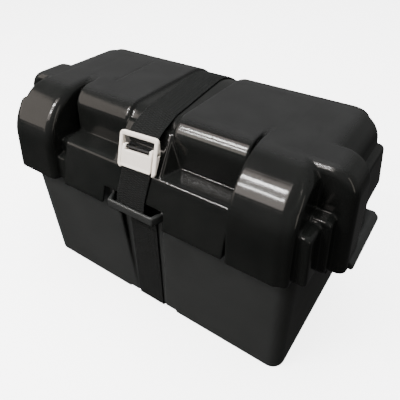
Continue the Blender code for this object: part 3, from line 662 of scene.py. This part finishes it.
def buckle_lever_field():
    """The cam lever with its two pin eyes, in buckle coordinates."""
    low, high = (-21.0, 12.0, -7.5), (21.0, 39.0, 3.0)
    field = Field(low, high, BUCKLE_STEP)
    body = [(13.2, -4.4), (15.0, -6.0), (18.2, -6.1), (20.6, -3.2), (34.5, -1.7),
            (37.5, 0.6), (37.0, 1.6), (34.0, 0.9), (20.0, 0.9), (14.2, -0.2)]
    cuts, (x, y, z) = field.window(low, high)
    across = np.abs(x) - 19.8 + 0 * y + 0 * z
    field.value[cuts] = rounded_max(outline_distance(body, y, z) + 0 * x, across, 0.9,
                                    weighted=False)
    field.cut(brick(-15.6, 15.6, 0.0, 19.6, -20.0, 20.0, 0.8), low, high, 0.7)
    field.cut(rod_along_x(*PIN_AT, PIN_HOLE_R), low, high, 0.2)
    return field


# ---- materials --------------------------------------------------------------------------
class Shader:
    """A Principled material with short calls for adding and linking nodes."""

    def __init__(self, name, colour, roughness, metallic=0.0):
        self.mat = bpy.data.materials.new(name)
        self.mat.use_nodes = True
        self.tree = self.mat.node_tree
        self.bsdf = self.tree.nodes["Principled BSDF"]
        self.bsdf.inputs["Base Color"].default_value = (*colour, 1.0)
        self.bsdf.inputs["Roughness"].default_value = roughness
        self.bsdf.inputs["Metallic"].default_value = metallic
        self.coords = self.node("ShaderNodeTexCoord").outputs["Object"]

    def node(self, kind, **values):
        node = self.tree.nodes.new(kind)
        for key, value in values.items():
            setattr(node, key, value)
        return node

    def link(self, out, into):
        self.tree.links.new(out, into)

    def stretched(self, scale):
        """Object coordinates multiplied by a scale for each axis."""
        mapping = self.node("ShaderNodeMapping")
        mapping.inputs["Scale"].default_value = scale
        self.link(self.coords, mapping.inputs["Vector"])
        return mapping.outputs["Vector"]

    def noise(self, scale, detail=3.0, rough=0.5, vector=None):
        node = self.node("ShaderNodeTexNoise")
        node.inputs["Scale"].default_value = scale
        node.inputs["Detail"].default_value = detail
        node.inputs["Roughness"].default_value = rough
        self.link(vector or self.coords, node.inputs["Vector"])
        return node.outputs["Fac"]

    def ramp(self, value, low, high, out_low=0.0, out_high=1.0):
        """Maps a range of a value to another, and clamps it."""
        node = self.node("ShaderNodeMapRange")
        node.inputs["From Min"].default_value = low
        node.inputs["From Max"].default_value = high
        node.inputs["To Min"].default_value = out_low
        node.inputs["To Max"].default_value = out_high
        self.link(value, node.inputs["Value"])
        return node.outputs["Result"]

    def mix(self, fac, a, b):
        """Mixes two colours; each is a socket or an (r, g, b) value."""
        node = self.node("ShaderNodeMix", data_type="RGBA")
        self.link(fac, node.inputs["Factor"])
        for value, socket in ((a, node.inputs[6]), (b, node.inputs[7])):
            if isinstance(value, tuple):
                socket.default_value = (*value, 1.0)
            else:
                self.link(value, socket)
        return node.outputs[2]

    def math(self, how, a, b):
        node = self.node("ShaderNodeMath", operation=how)
        for value, socket in ((a, node.inputs[0]), (b, node.inputs[1])):
            if isinstance(value, (int, float)):
                socket.default_value = value
            else:
                self.link(value, socket)
        return node.outputs[0]

    def bump(self, height, strength, distance, normal=None):
        node = self.node("ShaderNodeBump")
        node.inputs["Strength"].default_value = strength
        node.inputs["Distance"].default_value = distance
        self.link(height, node.inputs["Height"])
        if normal is not None:
            self.link(normal, node.inputs["Normal"])
        return node.outputs["Normal"]

    def finish(self, colour=None, roughness=None, normal=None):
        if colour is not None:
            self.link(colour, self.bsdf.inputs["Base Color"])
        if roughness is not None:
            self.link(roughness, self.bsdf.inputs["Roughness"])
        if normal is not None:
            self.link(normal, self.bsdf.inputs["Normal"])
        return self.mat


def moulded_plastic(name, dark, light, smooth, dull, grain, scuffs=0.25, wave=0.0, satin_and_painted_top_light=None):
    """Moulded plastic: slow colour drift, fine grain, fine scuffs and faint sink waves.

    The last argument gives the colour and roughness of the level top: the rougher spark-textured
    finish is real, the lighter colour is painted light falling on the top from above.
    """
    s = Shader(name, dark, smooth)
    drift = s.noise(7.0, 4.0, 0.55)
    cloud = s.noise(38.0, 3.0, 0.5)
    tone = s.math("ADD", s.math("MULTIPLY", drift, 0.65), s.math("MULTIPLY", cloud, 0.35))
    scratch = s.noise(1.0, 4.0, 0.6, s.stretched((35.0, 420.0, 420.0)))
    marks = s.ramp(scratch, 0.60, 0.74, 0.0, scuffs)
    colour = s.mix(s.ramp(tone, 0.35, 0.65), dark, light)
    rough = s.ramp(tone, 0.3, 0.7, smooth, dull)
    rough = s.math("ADD", rough, s.math("MULTIPLY", marks, 0.35))
    fine = s.noise(2400.0, 2.0, 0.5)
    if satin_and_painted_top_light:
        parts = s.node("ShaderNodeSeparateXYZ")
        s.link(s.coords, parts.inputs[0])
        level = s.ramp(parts.outputs[2], 0.2505, 0.2543)
        # painted light: the level top gets a lighter colour than the sides, standing in for light
        # falling on it from above
        top_colour_with_painted_light = s.mix(s.ramp(cloud, 0.3, 0.7), satin_and_painted_top_light[0], tuple(1.25 * c for c in satin_and_painted_top_light[0]))
        colour = s.mix(level, colour, top_colour_with_painted_light)
        keep = s.math("SUBTRACT", 1.0, level)
        rough = s.math("ADD", s.math("MULTIPLY", rough, keep), s.math("MULTIPLY", level, satin_and_painted_top_light[1]))
    normal = s.bump(fine, grain, 0.0002)
    if wave:
        normal = s.bump(s.noise(24.0, 2.0, 0.4), wave, 0.004, normal)
    return s.finish(colour, rough, normal)


def metal(name, dark, light, smooth, dull, metallic=1.0, scale=60.0):
    """Bare metal with tarnish patches and fine working marks."""
    s = Shader(name, dark, smooth, metallic)
    patch = s.noise(scale, 5.0, 0.6)
    marks = s.noise(1.0, 3.0, 0.6, s.stretched((900.0, 900.0, 90.0)))
    colour = s.mix(s.ramp(patch, 0.35, 0.7), dark, light)
    rough = s.ramp(patch, 0.3, 0.7, smooth, dull)
    return s.finish(colour, rough, s.bump(marks, 0.25, 0.0003))


def webbing(name):
    """Black polyester webbing: painted highlight on the yarn crowns and painted shade between the
    ribs, random fibre tone, dusty fibres.
    """
    s = Shader(name, (0.02, 0.022, 0.021), 0.8)
    uv = s.node("ShaderNodeUVMap", uv_map="strap").outputs["UV"]
    parts = s.node("ShaderNodeSeparateXYZ")
    s.link(uv, parts.inputs[0])
    along = s.math("MULTIPLY", parts.outputs[0], 2 * math.pi / (RIB_PITCH * MM))
    yarn = s.math("MULTIPLY", parts.outputs[1], 2 * math.pi / (2 * RIB_COLUMN * MM))
    weave = s.math("MULTIPLY", s.math("SINE", along, 0.0), s.math("SINE", yarn, 0.0))
    fibre = s.noise(1.0, 4.0, 0.7, s.stretched((5200.0, 900.0, 900.0)))
    dust = s.noise(45.0, 5.0, 0.6)
    weave_shade_and_fibre_tone = s.math("ADD", s.math("MULTIPLY", weave, 0.25), s.math("MULTIPLY", fibre, 0.75))
    # painted light: the crowns of the weave are lighter and the hollows between the ribs darker,
    # mixed with the fibres' own random tone
    colour = s.mix(s.ramp(weave_shade_and_fibre_tone, 0.15, 0.70), (0.0018, 0.0021, 0.0020), (0.012, 0.0130, 0.0127))
    colour = s.mix(s.ramp(dust, 0.55, 0.8, 0.0, 0.25), colour, (0.013, 0.0138, 0.0135))
    rough = s.ramp(fibre, 0.3, 0.7, 0.62, 0.9)
    s.bsdf.inputs["Specular IOR Level"].default_value = 0.16
    s.bsdf.inputs["Sheen Weight"].default_value = 0.03
    s.bsdf.inputs["Sheen Roughness"].default_value = 0.45
    return s.finish(colour, rough, s.bump(weave_shade_and_fibre_tone, 0.6, 0.0005))


def lead_plate(name):
    """Pasted battery plate: dull paste with a cast grid showing through."""
    s = Shader(name, (0.2, 0.2, 0.21), 0.7)
    parts = s.node("ShaderNodeSeparateXYZ")
    s.link(s.coords, parts.inputs[0])
    bars = s.math("SINE", s.math("MULTIPLY", parts.outputs[1], 2 * math.pi / 0.009), 0.0)
    rows = s.math("SINE", s.math("MULTIPLY", parts.outputs[2], 2 * math.pi / 0.007), 0.0)
    grid = s.math("MAXIMUM", bars, rows)
    paste = s.noise(220.0, 4.0, 0.6)
    colour = s.mix(s.ramp(grid, 0.86, 0.96), (0.13, 0.12, 0.115), (0.30, 0.30, 0.31))
    colour = s.mix(s.ramp(paste, 0.4, 0.8, 0.0, 0.5), colour, (0.20, 0.17, 0.15))
    return s.finish(colour, s.ramp(paste, 0.3, 0.7, 0.55, 0.85), s.bump(paste, 0.4, 0.0006))


# the lighter colour given for the level top is painted light from above; its higher roughness is
# the real textured finish
LID_BLACK = moulded_plastic("lid_gloss", (0.0050, 0.0056, 0.0052), (0.0095, 0.0098, 0.0092),
                            0.09, 0.15, 0.08, wave=0.08, satin_and_painted_top_light=((0.0120, 0.0124, 0.0124), 0.36))
TUB_BLACK = moulded_plastic("tub_satin", (0.0215, 0.0226, 0.0222), (0.0290, 0.0303, 0.0298),
                            0.34, 0.44, 0.16, wave=0.05)
CREAM = moulded_plastic("buckle_ivory", (0.88, 0.80, 0.70), (0.95, 0.89, 0.81),
                        0.30, 0.42, 0.10, scuffs=0.1)
CASE_BLACK = moulded_plastic("case_satin", (0.020, 0.020, 0.022), (0.034, 0.034, 0.036),
                             0.34, 0.48, 0.2)
COVER_GREY = moulded_plastic("cover_satin", (0.115, 0.122, 0.132), (0.155, 0.163, 0.172),
                             0.34, 0.48, 0.2)
CAP_BLACK = moulded_plastic("cap_satin", (0.030, 0.030, 0.030), (0.048, 0.048, 0.048),
                            0.36, 0.5, 0.2)
RING_RED = moulded_plastic("ring_red_satin", (0.42, 0.022, 0.018), (0.55, 0.04, 0.03),
                           0.35, 0.5, 0.15)
RING_BLACK = moulded_plastic("ring_black_satin", (0.014, 0.014, 0.014), (0.025, 0.025, 0.025),
                             0.35, 0.5, 0.15)
STEEL = metal("steel_drawn", (0.50, 0.50, 0.49), (0.66, 0.66, 0.64), 0.24, 0.38)
PIN_BLACK = metal("pin_blackened", (0.006, 0.006, 0.006), (0.012, 0.012, 0.012), 0.45, 0.6, 0.3)
LEAD = metal("lead_cast", (0.25, 0.25, 0.265), (0.40, 0.40, 0.42), 0.42, 0.62, 0.9, 140.0)
PLATE = lead_plate("plate_pasted")
WEBBING = webbing("webbing_woven")


# ---- pieces -----------------------------------------------------------------------------
def finished(ob, body, slot, mat, *nodes):
    """Gives a piece its body and material, and hides the CAD nodes it stands for. slot is not used.
    """
    ob.data.materials.clear()
    ob.data.materials.append(mat)
    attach(ob, body)
    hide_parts(*nodes)
    return ob


LID_STEP, TUB_STEP = 1.4, 1.5       # grid of the fields
lid_visual = moulded("lid_moulding", lid_field(LID_STEP), 0.4)
finished(lid_visual, "lid_group", "lid_black", LID_BLACK, "lid")
tub_visual = moulded("tub_moulding", tub_field(TUB_STEP), 0.25)
finished(tub_visual, "box", "tub_black", TUB_BLACK, "tub")

at_buckle = buckle_matrix()
frame_visual = moulded("buckle_frame_moulding", buckle_frame_field(), 0.6, at_buckle)
finished(frame_visual, "lid_group", "buckle_cream", CREAM, "buckle_frame")
lever_visual = moulded("buckle_lever_moulding", buckle_lever_field(), 0.6, at_buckle)
finished(lever_visual, "lever", "buckle_cream", CREAM, "buckle_lever")

for node, body, path in (("strap_top", "lid_group", strap_top_path()),
                         ("strap_front", "lid_group", strap_front_path()),
                         ("strap_under", "box", strap_under_path())):
    finished(webbing_strap(node + "_web", path), body, "webbing", WEBBING, node)

CAD_FINISH = {"battery_case": CASE_BLACK, "battery_cover": COVER_GREY,
              "battery_handle": CAP_BLACK, "buckle_pin": PIN_BLACK,
              "polarity_ring_negative": RING_BLACK, "polarity_ring_positive": RING_RED}
FINISH_BY_START = (("vent_cap", CAP_BLACK), ("plate_pack", PLATE), ("cell_link", LEAD),
                   ("terminal_stud", STEEL), ("terminal", LEAD), ("wing_nut", STEEL))
BEVELS = (("battery_case", 1.2), ("battery_cover", 1.0), ("battery_handle", 1.2),
          ("vent_cap", 0.6), ("terminal", 0.5), ("wing_nut", 0.4), ("polarity_ring", 0.4),
          ("cell_link", 0.6))
for name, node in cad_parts.items():
    mat = CAD_FINISH.get(name)
    for start, choice in FINISH_BY_START:
        if mat is None and name.startswith(start):
            mat = choice
    if mat is not None:
        node.data.materials.clear()
        node.data.materials.append(mat)
    for start, width in BEVELS:
        if name.startswith(start):
            soft = node.modifiers.new("soft_edges", "BEVEL")
            soft.width = width * MM
            soft.segments = 3
            soft.limit_method = "ANGLE"
            soft.angle_limit = math.radians(40)
            soft.harden_normals = True
            break

# ---- floor, lights and camera -----------------------------------------------------------
floor = mesh_object("floor", [(-6000, -6000, -0.4), (6000, -6000, -0.4), (6000, 6000, -0.4),
                              (-6000, 6000, -0.4)], [(0, 1, 2, 3)], smooth=False)
floor_paint = Shader("floor_pale", (0.90, 0.90, 0.90), 0.9)
floor_paint.finish(colour=floor_paint.mix(floor_paint.noise(3.0, 3.0), (0.895, 0.895, 0.895),
                                          (0.905, 0.905, 0.905)))
floor_paint.bsdf.inputs["Emission Color"].default_value = (1.0, 1.0, 1.0, 1.0)
floor_paint.bsdf.inputs["Emission Strength"].default_value = 4.2
floor.data.materials.append(floor_paint.mat)
floor.visible_glossy = False        # the gloss sees the dim studio, not the bright floor
floor.visible_diffuse = False       # and its glow does not light the box from below

world = bpy.data.worlds.new("studio")
bpy.context.scene.world = world
world.use_nodes = True
tree = world.node_tree
dim = tree.nodes["Background"]
dim.inputs["Color"].default_value = (1.0, 0.99, 0.98, 1.0)
where = tree.nodes.new("ShaderNodeTexCoord")
height = tree.nodes.new("ShaderNodeSeparateXYZ")
shade = tree.nodes.new("ShaderNodeMapRange")
for socket, value in (("From Min", -0.25), ("From Max", 0.15), ("To Min", 0.05), ("To Max", 0.22)):
    shade.inputs[socket].default_value = value
tree.links.new(where.outputs["Generated"], height.inputs[0])
tree.links.new(height.outputs[2], shade.inputs["Value"])
tree.links.new(shade.outputs["Result"], dim.inputs["Strength"])
pale = tree.nodes.new("ShaderNodeBackground")
pale.inputs["Strength"].default_value = 4.6
path = tree.nodes.new("ShaderNodeLightPath")
choose = tree.nodes.new("ShaderNodeMixShader")
tree.links.new(path.outputs["Is Camera Ray"], choose.inputs[0])
tree.links.new(dim.outputs[0], choose.inputs[1])
tree.links.new(pale.outputs[0], choose.inputs[2])
tree.links.new(choose.outputs[0], tree.nodes["World Output"].inputs["Surface"])


def area_light(name, place, aim, size, power, colour=(1.0, 1.0, 1.0)):
    """A soft rectangular lamp that looks at a point. Metres and watts."""
    lamp = bpy.data.lights.new(name, "AREA")
    lamp.shape = "RECTANGLE"
    lamp.size, lamp.size_y = size
    lamp.energy = power
    lamp.color = colour
    ob = bpy.data.objects.new(name, lamp)
    ob.location = place
    ob.rotation_euler = (Vector(aim) - Vector(place)).to_track_quat("-Z", "Y").to_euler()
    bpy.context.scene.collection.objects.link(ob)
    return ob


def front_place(x, angle, reach):
    """A point in front of the box, angle degrees above level, reach metres away."""
    t = math.radians(angle)
    return (x, -reach * math.cos(t), 0.2 + reach * math.sin(t))


area_light("window", front_place(-0.60, 46.0, 1.7), (-0.60, 0.0, 0.2), (1.30, 1.15), 17.0,
           (1.0, 0.90, 0.84))
area_light("door", (2.0, -0.85, 0.75), (0.15, 0.0, 0.2), (0.34, 1.7), 3.0, (1.0, 0.92, 0.80))
area_light("wall", (-1.69, -1.19, 0.95), (0.0, 0.0, 0.2), (1.6, 1.3), 9.0, (1.0, 0.88, 0.78))
for name, angle, watts in (("tube_high", 52.5, 13.0), ("tube_low", 41.0, 9.0)):
    area_light(name, front_place(-0.50, angle, 1.5), (-0.50, 0.0, 0.2), (0.70, 0.022), watts)
fill = area_light("fill", (-0.75, -0.95, 0.45), (-0.10, -0.10, 0.12), (0.8, 0.8), 10.0)
fill.visible_glossy = False
overhead = area_light("overhead", (0.1, 0.3, 2.6), (0.1, 0.3, 0.0), (2.6, 2.2), 130.0)
overhead.visible_glossy = False     # it lights the floor and is no mirror image in the gloss

# The view of the photograph: azimuth and elevation of the camera seen from the object, roll.
AZIMUTH, ELEVATION, ROLL = math.radians(33.79), math.radians(31.16), math.radians(-0.276)
back = Vector((math.sin(AZIMUTH) * math.cos(ELEVATION), -math.cos(AZIMUTH) * math.cos(ELEVATION),
               math.sin(ELEVATION)))
right = Vector((math.cos(AZIMUTH), math.sin(AZIMUTH), 0.0))
up = back.cross(right)
right = right * math.cos(ROLL) + up * math.sin(ROLL)
up = back.cross(right)
camera_data = bpy.data.cameras.new("camera")
camera_data.sensor_width = 36.0
camera_data.lens = 39.0366
camera_data.shift_x = -0.027625
camera_data.shift_y = -0.14305
camera = bpy.data.objects.new("camera", camera_data)
camera.matrix_world = Matrix.Translation((0.26696, -0.35510, 0.45376)) @ Matrix(
    (right, up, back)).transposed().to_4x4()
bpy.context.scene.collection.objects.link(camera)
bpy.context.scene.camera = camera

bpy.context.view_layer.update()
